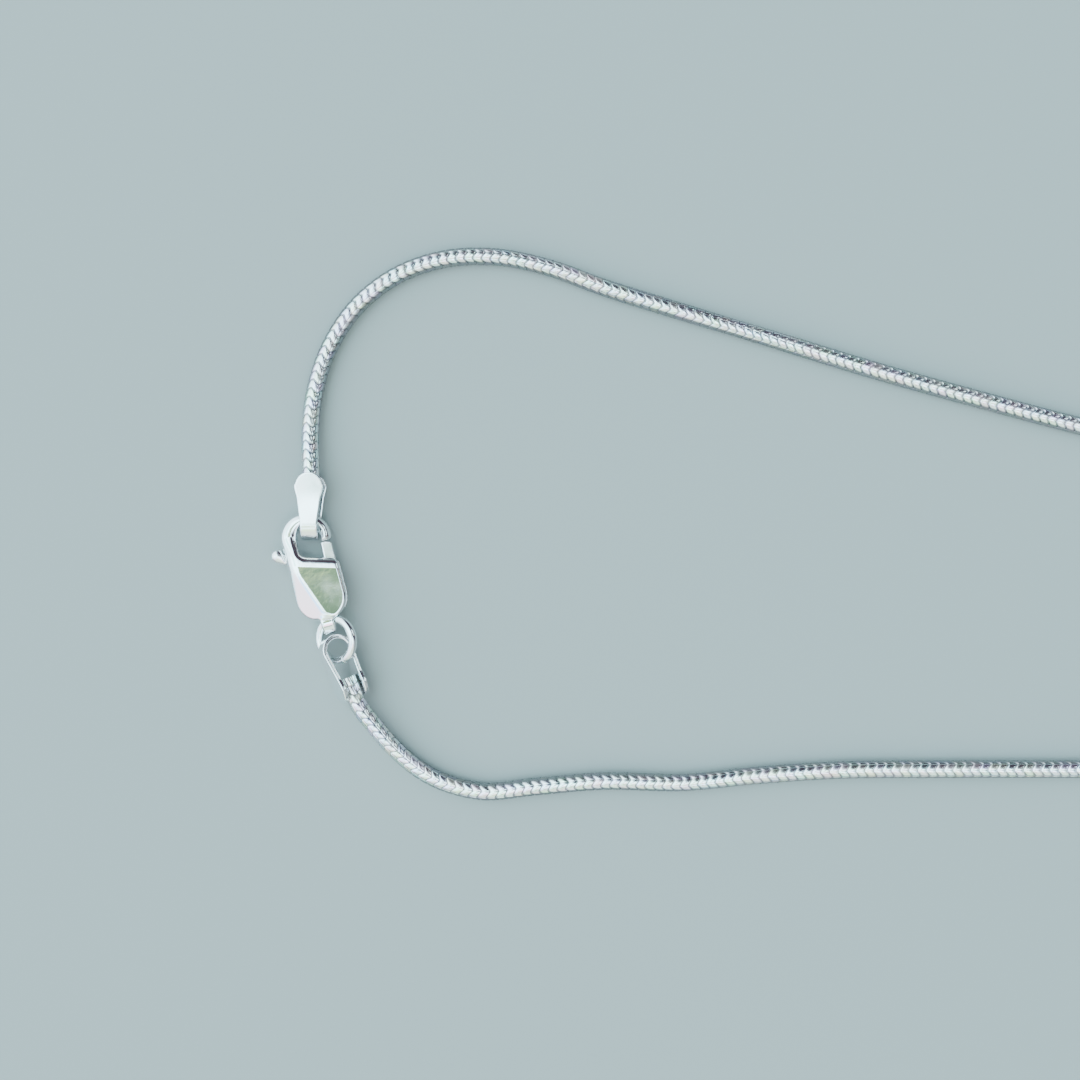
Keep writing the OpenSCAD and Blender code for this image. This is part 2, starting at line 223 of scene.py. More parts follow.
def polygon(x, y, corners):
    """Distance to the nearest side of a polygon, negative inside it, where a line to the left crosses an odd
    number of sides."""
    least = np.inf
    odd = False
    for (ax, ay), (bx, by) in zip(corners, corners[1:] + corners[:1]):
        ex, ey = bx - ax, by - ay
        px, py = x - ax, y - ay
        t = np.clip((px * ex + py * ey) / (ex * ex + ey * ey), 0, 1)
        least = np.minimum(least, (px - t * ex) ** 2 + (py - t * ey) ** 2)
        left = px * ey < ex * py if ey > 0 else px * ey > ex * py
        odd = odd ^ (((ay > y) != (by > y)) & left)
    return np.where(odd, -1, 1) * np.sqrt(least)


def blend(low, high, value):
    """0 past low, 1 past high and a smooth step between them, whichever of the two is greater."""
    t = np.clip((value - low) / (high - low), 0, 1)
    return t * t * (3 - 2 * t)


# How often a surface's corners slide, the small step that the slope is read over, as a share of a cell, and
# the least square of the slope that a slide is worked out from
SLIDES = 4
SLOPE_STEP = 1 / 8
LEAST_SQUARE = 0.1
# How far off a surface its wear is read, and the change of the field's mean there, as a share of that way,
# from a deep hollow to a sharp edge
WEAR_REACH = 0.12 * MM
WEAR_SPAN = 0.35


def level_surface(field, low, high, cell):
    """The surface where a field is 0, as corners and four-sided faces that point out of the metal.

    Each grid cell that the surface passes through gets one corner, and each grid edge that crosses the
    surface gives one face. The corners then slide along the field's slope to where the field is 0."""
    counts = np.ceil((high - low) / cell).astype(int) + 1
    x, y, z = np.ix_(*[low[i] + cell * np.arange(counts[i]) for i in range(3)])
    value = np.broadcast_to(field(x, y, z), counts)
    corners, number = cell_corners(value, low, cell)
    quads = cell_faces(value < 0, number)
    for _ in range(SLIDES):
        slope, now = field_slope(field, corners, SLOPE_STEP * cell)
        step = now / np.maximum((slope ** 2).sum(1), LEAST_SQUARE)
        corners = corners - slope * np.clip(step, -cell / 2, cell / 2)[:, None]
    return corners, quads


def pairs(axis, across):
    """The two parts of a grid that pair each of its points with the next one along an axis, and the numbers
    of the other two axes."""
    first, second = [across] * 3, [across] * 3
    first[axis], second[axis] = slice(0, -1), slice(1, None)
    return tuple(first), tuple(second), (axis + 1) % 3, (axis + 2) % 3


def cell_corners(value, low, cell):
    """One corner for each grid cell that the surface passes through, at the mean of the places where the
    cell's edges cross the surface, and a grid of the corners' numbers, with -1 where a cell has none."""
    counts = np.array(value.shape)
    inside = value < 0
    total = np.zeros((*(counts - 1), 3))
    hits = np.zeros(counts - 1, int)
    for axis in range(3):
        first, second, b, c = pairs(axis, slice(None))
        v0, v1 = value[first], value[second]
        crossed = inside[first] != inside[second]
        share_on = np.where(crossed, v0 / np.where(crossed, v0 - v1, 1), 0)
        place = np.stack(np.indices(crossed.shape), -1).astype(float)
        place[..., axis] += share_on
        place *= crossed[..., None]
        for kb in (0, 1):
            for kc in (0, 1):
                part = [slice(None)] * 3
                part[b] = slice(kb, counts[b] - 1 + kb)
                part[c] = slice(kc, counts[c] - 1 + kc)
                total += place[tuple(part)]
                hits += crossed[tuple(part)]
    used = hits > 0
    number = -np.ones(counts - 1, int)
    number[used] = np.arange(used.sum())
    return low + cell * total[used] / hits[used][:, None], number


def cell_faces(inside, number):
    """One face for each grid edge that crosses the surface, between the corners of the four cells round the
    edge, in the order that makes it point out of the metal."""
    quads = []
    for axis in range(3):
        first, second, b, c = pairs(axis, slice(1, -1))
        crossed = inside[first] != inside[second]
        at = np.argwhere(crossed)
        at[:, [b, c]] += 1
        out = inside[first][crossed]
        ring = []
        for kb, kc in ((1, 1), (0, 1), (0, 0), (1, 0)):
            cell_at = at.copy()
            cell_at[:, b] -= kb
            cell_at[:, c] -= kc
            ring.append(number[tuple(cell_at.T)])
        ring = np.stack(ring, 1)
        quads.append(np.where(out[:, None], ring, ring[:, ::-1]))
    return np.concatenate(quads)


def field_slope(field, points, near):
    """A field's slope at points, from its change over a step each way along each axis, and its value."""
    steps = near * np.eye(3)
    change = [field(*(points + step).T) - field(*(points - step).T) for step in steps]
    return np.stack(change, 1) / (2 * near), field(*points.T)


def hollow_share(field, corners):
    """How hollow or proud the metal is at each corner: 0 deep in a fillet, 0.5 on a face, 1 on an edge.

    It is the mean of the field a little way off the surface on six sides, as a share of that way."""
    steps = WEAR_REACH * np.concatenate([np.eye(3), -np.eye(3)])
    mean = sum(field(*(corners + step).T) for step in steps) / 6
    return np.clip(0.5 + mean / (WEAR_SPAN * WEAR_REACH), 0, 1)


def grid_faces(rows, columns):
    """The four-sided faces of a grid of corners that is closed round its columns."""
    k = np.arange(columns)
    first = np.arange(rows - 1)[:, None] * columns + k
    nxt = np.arange(rows - 1)[:, None] * columns + (k + 1) % columns
    return np.stack([first, nxt, nxt + columns, first + columns], -1).reshape(-1, 4)


def add_piece(name, corners, faces, body, slot, stands_for, material):
    """Makes a piece from its corners and faces, which rides on a CAD body and stands for a CAD node."""
    mesh = bpy.data.meshes.new(name)
    mesh.from_pydata(corners, [], faces)
    mesh.validate()
    mesh.shade_smooth()
    mesh.materials.append(material)
    piece = bpy.data.objects.new(name, mesh)
    bpy.context.scene.collection.objects.link(piece)
    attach(piece, body)
    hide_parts(stands_for)
    return piece


def add_cast_piece(name, field, place, low, high, grid, **links):
    """Makes a piece from a field in its own frame, put in place, with its wear kept as an attribute.

    The metal lies between low and high. The grid gives the size of a cell, and how far the cells go past
    the metal."""
    turn, origin = place
    cell, margin = grid
    corners, quads = level_surface(field, np.array(low) - margin, np.array(high) + margin, cell)
    piece = add_piece(name, origin + corners @ turn.T, quads, **links)
    wear = piece.data.attributes.new("wear", "FLOAT", "POINT")
    wear.data.foreach_set("value", hollow_share(field, corners))
    return piece


# Where the pieces lie


def clasp_place():
    """The clasp's turn, and its origin at the centre of its hook."""
    turn = spin(2, CLASP_TURN) @ spin(1, CLASP_ROLL)
    across, along = spin(2, CLASP_TURN)[:2, :2] @ TAB_IN_HOOK
    return turn, np.array([HOOK_TAB_AT[0] - across, HOOK_TAB_AT[1] - along, CLASP_LIFT])


def ring_place(clasp, ring):
    """The jump ring's turn, and its centre. The spoke from its centre to the wire in the tail eye lies in the
    ring's plane."""
    turn = spin(2, RING_LINE) @ spin(0, -RING_TILT)
    eye = clasp_place()[1] + spin(2, CLASP_TURN) @ np.array([0, -clasp.eye_far, 0])
    a = math.radians(EYE_ANGLE)
    spoke = math.sin(a) * turn[:, 0] - math.cos(a) * turn[:, 1]
    return turn, eye - (ring_radius(ring) - EYE_OFFSET) * spoke


def ring_radius(ring):
    """Radius of the ring's centre line."""
    return (ring.outer - ring.wire) / 2


def ring_tab_place(clasp, ring):
    """The ring end tab's turn, and the centre of its bend on the ring's lowest stretch."""
    turn = spin(2, TAB_TURN) @ spin(0, -TAB_ROLL)
    return turn, ring_place(clasp, ring)[1] + np.array([0, TAB_INSET - ring_radius(ring), -TAB_DROP])


def hook_tab_place():
    """The hook end tab's turn, which lays its legs along +Y, and the centre of its bend."""
    return spin(2, 90) @ spin(0, 90), HOOK_TAB_AT


# The snake chain

# Round the chain, two columns of corners for each row of tiles
CHAIN_COLUMNS = 16
CHAIN_ROWS = CHAIN_COLUMNS // 2
# Along one link, as shares of its pitch, and the depth there as shares of the groove's: the first two
# stations are its groove's bottom and upper edge
LINK_STATIONS = np.array([0.0, 0.13, 0.78, 0.91])
LINK_DEPTHS = np.array([1.0, 0.12, 0.0, 0.22])
GROOVE_STATIONS = 2
# The depth at the last link's end, as a share of the groove's
LAST_DEPTH = 0.3
# How many plain ends' lengths from its end the chain's links have their whole depth
LINKS_WHOLE = 2.5
# What picks how uneven the tiles are
TILE_SEED = 4
# The straight length of chain past each end tab, and the close points between two points of its route
TAB_STRAIGHT = 0.1 * MM
ROUTE_STEPS = 60


def chain_route(chain, tab, clasp, ring):
    """The chain's centre line as close points, its direction and its length so far at each.

    It is a cubic between each two route points, whose heading at a point is the slope of the parabola
    through that point and its two neighbours. It starts and ends straight, in line with the end tabs."""
    ring_turn, ring_at = ring_tab_place(clasp, ring)
    starts = [(HOOK_TAB_AT, np.array([0.0, 1.0, 0.0])), (ring_at, ring_turn[:, 0])]
    straight = tab.leg + tab.wing / 2 + TAB_STRAIGHT
    seat, out = [[at + reach * way for at, way in starts] for reach in (tab.seat, straight)]
    radius = chain.width / 2
    half = len(ROUTE) // 2
    end_z = np.where(np.arange(len(ROUTE)) < half, out[0][2], out[1][2])
    lying = np.column_stack([ROUTE[:, :2], radius + ROUTE[:, 2] * (end_z - radius)])
    path = np.vstack([seat[0], out[0], lying, out[1], seat[1]])
    step = np.diff(path, axis=0)
    size = np.linalg.norm(step, axis=1)[:, None]
    mid = (step[:-1] * size[1:] / size[:-1] + step[1:] * size[:-1] / size[1:]) / (size[:-1] + size[1:])
    way0, way1 = starts[0][1], -starts[1][1]
    heading = np.vstack([way0, way0, mid[1:-1], way1, way1])
    t = np.linspace(0, 1, ROUTE_STEPS, endpoint=False)[None, :, None]
    u = 1 - t
    run = size[:, None]
    a, b, ha, hb = path[:-1, None], path[1:, None], heading[:-1, None], heading[1:, None]
    points = a * (1 + 2 * t) * u * u + ha * run * t * u * u + b * t * t * (3 - 2 * t) - hb * run * t * t * u
    points = np.vstack([points.reshape(-1, 3), path[-1:]])
    gone = np.concatenate([[0], np.cumsum(np.linalg.norm(np.diff(points, axis=0), axis=1))])
    ways = np.gradient(points, gone, axis=0)
    return points, ways / np.linalg.norm(ways, axis=1)[:, None], gone


def snake_chain(chain, tab, clasp, ring):
    """The chain's corners and faces, and its UV map.

    Each link is a cup that widens from its groove to its lip. Round the chain it has rows of tiles, flat
    across, whose edges run to and fro along the chain, so that each two rows make an arrow. The columns are
    the two sides of each row. Each corner's distance along the chain is its station's, moved by the zigzag,
    and the centre line, its side and its upward direction are read there."""
    points, ways, gone = chain_route(chain, tab, clasp, ring)
    links = round(gone[-1] / chain.pitch)
    place = (np.arange(links)[:, None] + LINK_STATIONS).ravel()
    place = np.concatenate([place, [links]]) / links * gone[-1]
    depth = np.concatenate([np.tile(LINK_DEPTHS, links), [LAST_DEPTH]]) * chain.groove
    half = (1 - chain.seam) * math.pi / CHAIN_ROWS
    column = np.arange(CHAIN_COLUMNS)
    angle = (column // 2) * 2 * math.pi / CHAIN_ROWS + np.where(column % 2, half, -half)
    zigzag = np.array([1, -1, -1, 1])[column % 4] * chain.zigzag / 2
    from_end = np.minimum(place, gone[-1] - place)
    alive = blend(chain.plain_end, LINKS_WHOLE * chain.plain_end, from_end)
    along = np.clip(place[:, None] + alive[:, None] * zigzag, 0, gone[-1])
    chance = np.random.default_rng(TILE_SEED).uniform(0, 1, (len(place), CHAIN_COLUMNS))
    radius = chain.width / 2 - alive[:, None] * (depth[:, None] + chain.uneven * chance)

    def read(table):
        return np.stack([np.interp(along, gone, table[:, i]) for i in range(3)], -1)

    centre, way = read(points), read(ways)
    side = np.cross([0, 0, 1], way)
    side /= np.linalg.norm(side, axis=-1, keepdims=True)
    up = np.cross(way, side)
    turn = angle + np.radians(np.interp(along, WINDING[:, 0], WINDING[:, 1])) + math.pi / 2
    spoke = np.cos(turn)[..., None] * side + np.sin(turn)[..., None] * up
    corners = (centre + radius[..., None] * spoke).reshape(-1, 3)
    faces = grid_faces(len(place), CHAIN_COLUMNS).tolist()
    faces.append(column[::-1].tolist())
    faces.append((column + (len(place) - 1) * CHAIN_COLUMNS).tolist())
    return corners, faces, chain_uv(place / gone[-1] * links, angle)


def chain_uv(link_at, angle):
    """The chain's UV map: U counts the links along it and V is the share of the way round it, so that each
    eighth holds a row of tiles. Its two end faces lie in the middle of the first link and the last."""
    turn_at = np.append(angle, angle[0] + 2 * math.pi) / (2 * math.pi) + 0.5 / CHAIN_ROWS
    grid = np.stack(np.broadcast_arrays(link_at[:, None], turn_at), -1)
    uv = np.stack([grid[:-1, :-1], grid[:-1, 1:], grid[1:, 1:], grid[1:, :-1]], 2).reshape(-1, 2)
    ends = np.repeat([[0.5, 0.5], [link_at[-1] - 0.5, 0.5]], CHAIN_COLUMNS, axis=0)
    return np.vstack([uv, ends])


def crease_grooves(mesh):
    """Marks the edges that run round the chain in its grooves as sharp, so that each tile shades softly
    from its back to its lip and the links stay apart."""
    ends = np.empty(2 * len(mesh.edges), int)
    mesh.edges.foreach_get("vertices", ends)
    ring = ends.reshape(-1, 2) // CHAIN_COLUMNS
    sharp = (ring[:, 0] == ring[:, 1]) & (ring[:, 0] % len(LINK_STATIONS) < GROOVE_STATIONS)
    mesh.attributes.new("sharp_edge", "BOOLEAN", "EDGE").data.foreach_set("value", sharp)


# The jump ring

# Where round the ring its cut lies, in degrees
CUT_AT = 200
# The rounding of the wire's two ends, and its stations along the wire and in from the wire's outside, as
# shares of it
END_ROUND = 0.06 * MM
END_ALONG = np.array([0, 0.3, 1])
END_IN = np.array([1, 0.3, 0])
# The stations along the wire and the corners round it
RING_STATIONS = 161
RING_SIDES = 32


def ring_wire(ring):
    """The open ring of wire: a circle of wire carried round the ring's centre line, from one side of the
    cut to the other, and drawn in a little at both ends, where a flat face closes it inside a round edge."""
    r = ring.wire / 2
    big = ring_radius(ring)
    cut = math.radians(CUT_AT)
    turn = np.linspace(cut + ring.cut / 2 / big, cut + 2 * math.pi - ring.cut / 2 / big, RING_STATIONS)
    bevel = END_ROUND / big * END_ALONG
    drawn = r - END_ROUND * END_IN
    turn = np.concatenate([turn[0] + bevel, turn[1:-1], turn[-1] - bevel[::-1]])
    radius = np.concatenate([drawn, np.full(RING_STATIONS - 2, r), drawn[::-1]])
    around = np.linspace(0, 2 * math.pi, RING_SIDES, endpoint=False)
    out = big + radius[:, None] * np.cos(around)
    corners = np.stack([
        out * np.cos(turn)[:, None], out * np.sin(turn)[:, None],
        radius[:, None] * np.sin(around) * np.ones_like(out)], -1)
    outward = grid_faces(len(turn), RING_SIDES)[:, [0, 3, 2, 1]]
    ends = np.arange(RING_SIDES), np.arange(out.size - 1, out.size - 1 - RING_SIDES, -1)
    return corners.reshape(-1, 3), outward.tolist() + [end.tolist() for end in ends]


# The end tabs

# How far each way from the chain's end a leg bends, from its lean to straight
LEG_SOFT = 0.9 * MM
# The fillet between a strip's neck and its round end, and the round of its end's inner edge
WING_FILLET = 0.3 * MM
WING_ROUND = 0.02 * MM
# The size of the strip's grid cells, and how far they go past the metal
STRIP_GRID = (0.055 * MM, 0.15 * MM)


def tab_field(tab, chain):
    """The strip folded round a loop: the area between an outer and an inner loop, cut to the strip's face.

    Each loop is a circle with two sides that leave it at a tangent, draw in to the chain and, past a soft
    bend, run on beside it."""
    leg_in = chain.width / 2 + tab.gap
    half = tab.wing / 2
    tip = tab.leg + half

    def loop(x, y, r, beside, far):
        lean = math.hypot(1, (r - beside) / tab.seat)
        slope = (r * lean - beside) / tab.seat
        leave = r * slope / lean
        bent = LEG_SOFT * np.clip((tab.seat + LEG_SOFT - x) / (2 * LEG_SOFT), 0, 1) ** 2
        drawn = np.where(x < tab.seat - LEG_SOFT, tab.seat - x, bent)
        sides = np.maximum(np.abs(y) - beside - slope * drawn, np.maximum(leave - x, x - far))
        return np.minimum(np.hypot(x, y) - r, sides)

    def face(x, z):
        neck = tab.neck / 2
        bend = [(-2 * tab.bend, -neck), (0, -neck), (tab.leg, -half), (tab.leg, half), (0, neck),
                (-2 * tab.bend, neck)]
        return round_join(polygon(x, z, bend), disc(x, z, (tab.leg, 0), half), WING_FILLET)

    def field(x, y, z):
        strip = round_cut(
            loop(x, y, tab.bend + tab.thick, leg_in + tab.thick, tip),
            loop(x, y, tab.bend, leg_in, tip + tab.thick), WING_ROUND)
        return round_meet(strip, face(x, z), tab.edge)

    return field


# The lobster clasp, in its own frame: the hook's centre at the origin and the hook's top along +Y

# The lever's pin
PIN_AT = (1.1 * MM, -4.0 * MM)
# The opening's lower edge: its left end, its slope and the round of its corner there
SILL_LEFT = (-0.85 * MM, -1.5 * MM)
SILL_SLOPE = -0.3
SILL_CORNER = 0.5 * MM
# The fillet where the opening narrows to the hook's round
OPENING_FILLET = 0.15 * MM
# The slanting line where each face's flank begins, how steeply the flank falls, and the round between them
FLANK_TOP = (-1.7 * MM, -2.44 * MM)
FLANK_END = (0.1 * MM, -7.54 * MM)
FLANK_FALL = math.tan(math.radians(28))
FLANK_ROUND = 0.12 * MM
# The tail's edge, as steps in from the clasp's end and shares of its half thickness
TAIL_STEPS = np.array([0, 0.12, 0.35]) * MM
TAIL_SHARES = np.array([0.6, 0.85, 1.0])
# The face's soft fall before the opening: its width and its depth
SILL_BACK = 0.95 * MM
SILL_FALL = 0.13 * MM
# The face then falls to the hook: where that fall ends, and how far it stays above the hook's face there
FALL_END = 0.4 * MM
FALL_LEFT = 0.09 * MM
# These falls run along the sill's slope between the inner two heights, and level past the outer two
SLANT_TOP = (-0.2 * MM, -1.4 * MM)
SLANT_END = (-5.0 * MM, -4.0 * MM)
# The crisp edge's radius grows to the shoulder's over these heights, and the two sides' radii meet over
# this width. The least that stays flat of the clasp's side, each way from its middle
EDGE_RISE = (-2.0 * MM, 0.6 * MM)
EDGE_MIDDLE = (-0.4 * MM, 1.0 * MM)
EDGE_FLAT = 0.03 * MM
# The inner edge's radius grows from the sill's to the hook's rim's over these heights
RIM_RISE = (-1.2 * MM, 0.0)
# The round of the tail eye's edges, its fillet to the tail, the round of the slot's edges, and the gap to
# the ring's wire, which is also the round of that room's edges
EYE_ROUND = 0.2 * MM
EYE_FILLET = 0.3 * MM
SLOT_ROUND = 0.07 * MM
RING_GAP = 0.08 * MM

# The gate's place across the clasp and the room beside it
GATE_IN = 1.25 * MM
GATE_OUT = 2.15 * MM
GATE_ROOM = 0.1 * MM
# The thumb knob's centre, its neck's length and taper, and how far from the clasp its side is cut flat
KNOB_AT = (-2.85 * MM, -0.935 * MM)
NECK_LENGTH = 0.8 * MM
NECK_TAPER = 0.125
KNOB_TRIM = 0.06 * MM
# The lever's roundings, and its clearance on the pin
GATE_ROUND = 0.15 * MM
PLATE_ROUND = 0.12 * MM
KNOB_ROUND = 0.15 * MM
KNOB_FILLET = 0.1 * MM
BORE_ROUND = 0.06 * MM
PIN_GAP = 0.05 * MM

# The lever's room: its lower end, its roof above the sill, and its room above the arm and, with the lever
# open, below it
SLOT_END = -6.95 * MM
SLOT_ROOF = 0.2 * MM
ARM_ROOT = 0.28 * MM
ARM_ROOM = 0.13 * MM
ARM_ROOM_OPEN = 0.15 * MM
# The room's lower corners, as shares of its half width: where its end begins, and a point of its round
SLOT_END_IN = 0.1
SLOT_CORNER = (0.8, 0.6)
# How far the lever opens, in degrees, and the slope of the line from the pin to the knob
LEVER_OPEN = 20
ARM_SLOPE = (KNOB_AT[1] - PIN_AT[1]) / (KNOB_AT[0] - PIN_AT[0])
ARM_ANGLE = math.degrees(math.atan(ARM_SLOPE))

# The size of the casting's and the lever's grid cells, and how far they go past the metal
CASTING_GRID = (0.062 * MM, 0.15 * MM)
GATE_GRID = (0.045 * MM, 0.1 * MM)


def sill_y(x):
    """The line of the opening's lower edge."""
    return SILL_LEFT[1] + SILL_SLOPE * (x - SILL_LEFT[0])


def arm_y(x):
    """The line from the pin to the thumb knob."""
    return PIN_AT[1] + ARM_SLOPE * (x - PIN_AT[0])


def hook_opening(x, y, c):
    """The way in: the hook's round, and below it the area down to the sill, with the gate's place at its
    right."""
    middle = c.width / 2 - c.band - c.opening
    start = middle - c.opening
    lean = (SILL_LEFT[0] - start) / SILL_LEFT[1]
    wall = (start + lean * y - x) / math.hypot(1, lean)
    sill = (sill_y(x) - y) / math.hypot(1, SILL_SLOPE)
    below = np.maximum(round_meet(wall, sill, SILL_CORNER), np.maximum(y, x - c.width))
    gate = np.minimum(x - (GATE_IN - GATE_ROOM), disc(x, y, PIN_AT, c.gate + GATE_ROOM))
    return round_join(disc(x, y, (middle, 0), c.opening), np.maximum(below, gate), OPENING_FILLET)


def lever_room(x, y, c):
    """The flat room that the lever turns in, open at the clasp's right side and for the knob's arm."""
    wide = c.width
    side = c.width / 2 - c.wall
    lift = c.arm / math.cos(math.radians(ARM_ANGLE)) + ARM_ROOM
    open_angle = math.radians(ARM_ANGLE + LEVER_OPEN)
    drop = c.arm / math.cos(open_angle) + ARM_ROOM_OPEN
    roof = sill_y(ARM_ROOT) + SLOT_ROOF
    corner = (-SLOT_CORNER[0] * side, -c.run - SLOT_CORNER[1] * side)

    def open_y(at):
        return PIN_AT[1] + math.tan(open_angle) * (at - PIN_AT[0]) - drop

    return polygon(x, y, [
        (-wide, arm_y(-wide) + lift), (ARM_ROOT, arm_y(ARM_ROOT) + lift), (ARM_ROOT, roof), (wide, roof),
        (wide, SLOT_END), (SLOT_END_IN * side, SLOT_END), corner, (-side, -c.run),
        (-side, open_y(-side)), (-wide, open_y(-wide))])


def clasp_body_field(c, ring, place, ring_at):
    """The casting: a long round outline, thinner towards the hook, with full shoulders on the knob's side
    and a crisp edge on the other, and with a broad flank that falls away from a slanting line on each face;
    joined to the tail eye; less the opening, the lever's room and the room that the ring's wire needs."""
    radius = c.width / 2
    half = c.thick / 2
    stations = np.array([
        *(-c.run - radius + TAIL_STEPS), SILL_LEFT[1] - SILL_BACK, SILL_LEFT[1], FALL_END, radius])
    halves = np.array([*(half * TAIL_SHARES), half, half - SILL_FALL, c.hook / 2 + FALL_LEFT, c.hook / 2])
    turn, origin = place
    ring_turn, ring_origin = ring_at
    eye_mid = (c.eye + c.eye_hole) / 2
    line = np.subtract(FLANK_END, FLANK_TOP)
    line /= np.hypot(*line)

    def casting(x, y, z):
        outline = np.hypot(x, y - np.clip(y, -c.run, 0)) - radius
        slant = SILL_SLOPE * (x - SILL_LEFT[0]) * blend(*SLANT_TOP, y) * blend(*SLANT_END, y)
        high = np.interp(y - slant, stations, halves)
        crisp = c.edge + (c.shoulder - c.edge) * blend(*EDGE_RISE, y)
        shoulder = c.shoulder + (crisp - c.shoulder) * blend(*EDGE_MIDDLE, x)
        metal = round_meet(outline, np.abs(z) - high, np.minimum(shoulder, high - EDGE_FLAT))
        past = line[1] * (x - FLANK_TOP[0]) - line[0] * (y - FLANK_TOP[1])
        flank = (np.abs(z) - half + FLANK_FALL * past) / math.hypot(1, FLANK_FALL)
        metal = round_meet(metal, flank, FLANK_ROUND)
        eye_ring = np.abs(np.hypot(y + c.eye_far, z) - eye_mid) - (c.eye - c.eye_hole) / 2
        eye = round_meet(eye_ring, np.abs(x) - c.eye_thick / 2, EYE_ROUND)
        return round_join(metal, eye, EYE_FILLET)

    def wire_room(x, y, z):
        from_ring = [
            origin[i] + turn[i, 0] * x + turn[i, 1] * y + turn[i, 2] * z - ring_origin[i] for i in range(3)]
        rx, ry, rz = [sum(ring_turn[k, i] * from_ring[k] for k in range(3)) for i in range(3)]
        return np.hypot(np.hypot(rx, ry) - ring_radius(ring), rz) - ring.wire / 2 - RING_GAP

    def field(x, y, z):
        rim = c.sill_rim + (c.rim - c.sill_rim) * blend(*RIM_RISE, y)
        metal = round_cut(casting(x, y, z), hook_opening(x, y, c), rim)
        slot = np.maximum(lever_room(x, y, c), np.abs(z) - c.lever / 2 - c.lever_gap)
        metal = round_cut(metal, slot, SLOT_ROUND)
        return round_cut(metal, wire_room(x, y, z), RING_GAP)

    return field


def lever_field(c):
    """The lever: a plate with the gate, the boss round the pin and the knob's arm, joined to a ball with a
    full neck that is trimmed flat towards the clasp's side, and bored for the pin."""
    boss_low = (PIN_AT[0], PIN_AT[1] - c.boss)
    boss_left = (PIN_AT[0] - c.boss, PIN_AT[1])
    gate = [(GATE_IN, 0), (GATE_OUT, 0), (GATE_OUT, PIN_AT[1]), boss_low, boss_left,
            (GATE_IN - GATE_ROOM, sill_y(GATE_IN))]
    reach = math.hypot(KNOB_AT[0] - PIN_AT[0], KNOB_AT[1] - PIN_AT[1])
    a = math.radians(ARM_ANGLE)
    trim = -c.width / 2 - KNOB_TRIM

    def field(x, y, z):
        bar = round_meet(polygon(x, y, gate), disc(x, y, PIN_AT, c.gate), GATE_ROUND)
        ax = (x - PIN_AT[0]) * math.cos(a) + (y - PIN_AT[1]) * math.sin(a)
        ay = (y - PIN_AT[1]) * math.cos(a) - (x - PIN_AT[0]) * math.sin(a)
        arm = np.maximum(np.abs(ax + reach / 2) - reach / 2, np.abs(ay) - c.arm)
        flat = np.minimum(np.minimum(bar, disc(x, y, PIN_AT, c.boss)), arm)
        plate = round_meet(flat, np.abs(z) - c.lever / 2, PLATE_ROUND)
        inward = np.clip(reach + ax, 0, NECK_LENGTH)
        knob = np.sqrt((reach + ax - inward) ** 2 + ay ** 2 + z * z) - c.knob + NECK_TAPER * inward
        knob = round_meet(knob, x - trim, KNOB_ROUND)
        metal = round_join(plate, knob, KNOB_FILLET)
        return round_cut(metal, disc(x, y, PIN_AT, c.pin + PIN_GAP), BORE_ROUND)

    return field


# Finishes

# Lumps to the metre in the silver's patches of colour, polishing marks, casting ripples and dimples
PATCHES = 420
MARKS = 16000
RIPPLES = 1100
DIMPLES = 2800
# The polishing marks' direction and how they are drawn out along it, and their depth in metres
MARK_TURN = (0.3, 0.2, 0.6)
MARK_STRETCH = (1.0, 0.08, 1.0)
MARK_DEPTH = 2.5e-7
# The patches' values over which the silver turns warm and dull, and how much duller it gets
WARM_RANGE = (0.42, 0.7)
DULL_RANGE = (0.35, 0.7)
DULL_RISE = 0.09
# In hollows: the wear at which the tarnish is full, how dark it is then and how much duller
HOLLOW_FULL = 0.12
HOLLOW_DARK = 0.75
HOLLOW_DULL = 0.25
# In the chain's grooves: how near in links the tarnish starts and is full, how dark it is and how dull
GROOVE_RANGE = (0.10, 0.02)
GROOVE_DARK = 0.6
GROOVE_DULL = 0.2
# How much of each tile's own tint and dullness shows, and the bump distance that makes it domed
TILE_TINT = 0.2
TILE_DULL = 0.08
TILE_DOME = -1.5e-4
# On the chain's sides, painted shade: the shares of its height between which the painted darkening sets in,
# and how dark it is
SIDE_SHADE_RANGE = (0.89, 0.78)
SIDE_SHADE_DARK = 0.8
# Each piece's silver: its least roughness, as a factor of the best polish and what is added to that, the
# bump distances of its ripples and dimples in metres, and the wear below which it is tarnished, if it can be
SILVERS = {
    "chain": (1.0, 0.04, 1.2e-6, 3e-6, None),
    "tab": (1.0, 0.0, 1.5e-6, 1e-6, 0.42),
    "clasp": (0.6, 0.0, 7e-6, 2.5e-6, 0.44),
    "lever": (1.0, 0.04, 4e-6, 4e-6, 0.42),
    "pin": (1.0, 0.08, 2e-6, 1e-6, None),
    "ring": (1.0, 0.0, 1.5e-6, 1e-6, None)}


